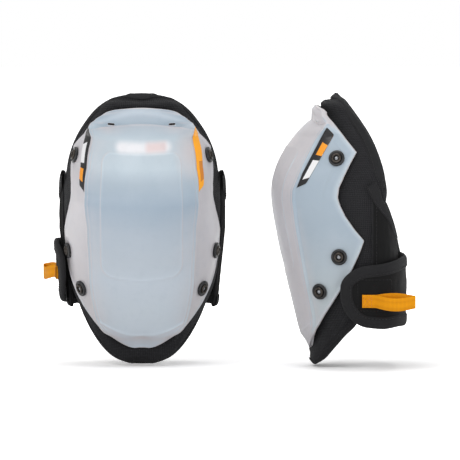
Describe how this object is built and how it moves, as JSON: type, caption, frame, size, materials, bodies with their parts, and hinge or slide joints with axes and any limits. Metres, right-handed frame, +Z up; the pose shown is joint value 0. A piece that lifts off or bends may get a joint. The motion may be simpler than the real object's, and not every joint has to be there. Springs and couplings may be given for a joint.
{
  "type": "knee pads",
  "caption": "Knee pads with a frosted hard shell over a gel core, a padded fabric body, a wrap-round neoprene strap with a hook-and-loop flap, and a webbing pull tab.",
  "frame": {"origin": "centre of the box round both pads, at the lowest point of the pads", "axes": "+Z up; the right pad's cap faces -Y, leaning 8 degrees forward, and the left pad's cap faces -X, upright"},
  "size_m": [0.3798, 0.1882, 0.2831],
  "materials": {
    "frosted_shell": "satin translucent moulding",
    "gel": "soft light-blue gel",
    "printed_film": "thin pale film",
    "dark_label": "smooth printed label",
    "orange_label": "smooth printed label",
    "rivet_metal": "dark gunmetal",
    "washer_plastic": "matt",
    "washer_steel": "plain",
    "woven_fabric": "woven nylon",
    "foam": "open foam",
    "cushion_fabric": "soft knit",
    "lining_fabric": "soft knit",
    "binding_tape": "ribbed tape",
    "neoprene": "matt knit-faced neoprene",
    "loop_pile": "loop pile",
    "hook_pile": "hook pile",
    "orange_webbing": "ribbed webbing"
  },
  "bodies": {
    "right_pad": {"right_cap": "frosted_shell", "right_gel_core": "gel", "right_core_patch": "printed_film", "right_outer_label": "dark_label", "right_inner_label": "orange_label", "right_rivets": "rivet_metal", "right_rivet_washers": "washer_plastic", "right_backing_washers": "washer_steel", "right_fabric_cover": "woven_fabric", "right_foam_liner": "foam", "right_knee_cushion": "cushion_fabric", "right_knee_lining": "lining_fabric", "right_rim_binding": "binding_tape", "right_outer_wing": "neoprene", "right_outer_wing_binding": "binding_tape", "right_inner_wing": "neoprene", "right_inner_wing_binding": "binding_tape", "right_loop_patch": "loop_pile"},
    "right_strap": {"right_back_strap": "neoprene", "right_back_strap_binding": "binding_tape"},
    "right_flap": {"right_strap_flap": "neoprene", "right_flap_binding": "binding_tape", "right_hook_patch": "hook_pile"},
    "right_tab": {"right_pull_tab": "orange_webbing"},
    "left_pad": {"left_cap": "frosted_shell", "left_gel_core": "gel", "left_core_patch": "printed_film", "left_outer_label": "dark_label", "left_inner_label": "orange_label", "left_rivets": "rivet_metal", "left_rivet_washers": "washer_plastic", "left_backing_washers": "washer_steel", "left_fabric_cover": "woven_fabric", "left_foam_liner": "foam", "left_knee_cushion": "cushion_fabric", "left_knee_lining": "lining_fabric", "left_rim_binding": "binding_tape", "left_outer_wing": "neoprene", "left_outer_wing_binding": "binding_tape", "left_inner_wing": "neoprene", "left_inner_wing_binding": "binding_tape", "left_loop_patch": "loop_pile"},
    "left_strap": {"left_back_strap": "neoprene", "left_back_strap_binding": "binding_tape"},
    "left_flap": {"left_strap_flap": "neoprene", "left_flap_binding": "binding_tape", "left_hook_patch": "hook_pile"},
    "left_tab": {"left_pull_tab": "orange_webbing"}
  },
  "joints": [
    {"name": "right_strap_swing", "type": "hinge", "parent": "right_pad", "child": "right_strap", "pos_m": [-0.03135, 0.07907, 0.08636], "axis": [-0.0691, 0.1388, -0.9879], "range_deg": [0, 80]},
    {"name": "right_flap_peel", "type": "hinge", "parent": "right_strap", "child": "right_flap", "pos_m": [-0.13931, 0.08608, 0.08734], "axis": [0.0599, 0.1389, -0.9885], "range_deg": [0, 75]},
    {"name": "right_tab_lift", "type": "hinge", "parent": "right_flap", "child": "right_tab", "pos_m": [-0.17757, 0.05434, 0.09493], "axis": [0, -0.1392, 0.9903], "range_deg": [0, 80]},
    {"name": "left_strap_swing", "type": "hinge", "parent": "left_pad", "child": "left_strap", "pos_m": [0.17409, 0.06288, 0.07509], "axis": [0, 0.0691, 0.9976], "range_deg": [0, 80]},
    {"name": "left_flap_peel", "type": "hinge", "parent": "left_strap", "child": "left_flap", "pos_m": [0.18117, -0.04509, 0.07509], "axis": [0, -0.0599, 0.9982], "range_deg": [0, 75]},
    {"name": "left_tab_lift", "type": "hinge", "parent": "left_flap", "child": "left_tab", "pos_m": [0.1508, -0.08167, 0.07109], "axis": [0, 0, -1], "range_deg": [0, 80]},
    {"name": "pair_spacing", "type": "slide", "parent": "right_pad", "child": "left_pad", "axis": [1, 0, 0], "range_m": [0, 0.3]}
  ]
}
